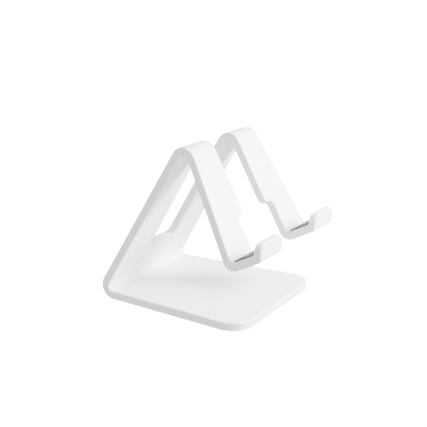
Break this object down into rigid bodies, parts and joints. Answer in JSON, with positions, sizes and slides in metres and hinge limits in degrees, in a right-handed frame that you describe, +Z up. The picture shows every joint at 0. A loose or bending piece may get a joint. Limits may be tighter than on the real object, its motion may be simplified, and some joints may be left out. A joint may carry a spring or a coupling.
{
  "type": "tablet stand",
  "caption": "Desk stand bent from one thick white plate: flared base, leaning slotted leg, and arms that fold over the top and end in padded hooks for a tablet.",
  "frame": {"origin": "on the table, under the middle of the stand's box", "axes": "+Z up, -Y towards the front where the hooks are, +X to the right as seen from the front"},
  "size_m": [0.0894, 0.1094, 0.0975],
  "materials": {
    "body": "satin white",
    "seat_rubber": "matte dark grey",
    "foot_rubber": "matte dark grey"
  },
  "bodies": {
    "root": {"stand_body": "body", "seat_pad_left": "seat_rubber", "seat_pad_right": "seat_rubber", "foot_front_left": "foot_rubber", "foot_front_right": "foot_rubber", "foot_rear_left": "foot_rubber", "foot_rear_right": "foot_rubber"}
  },
  "joints": []
}
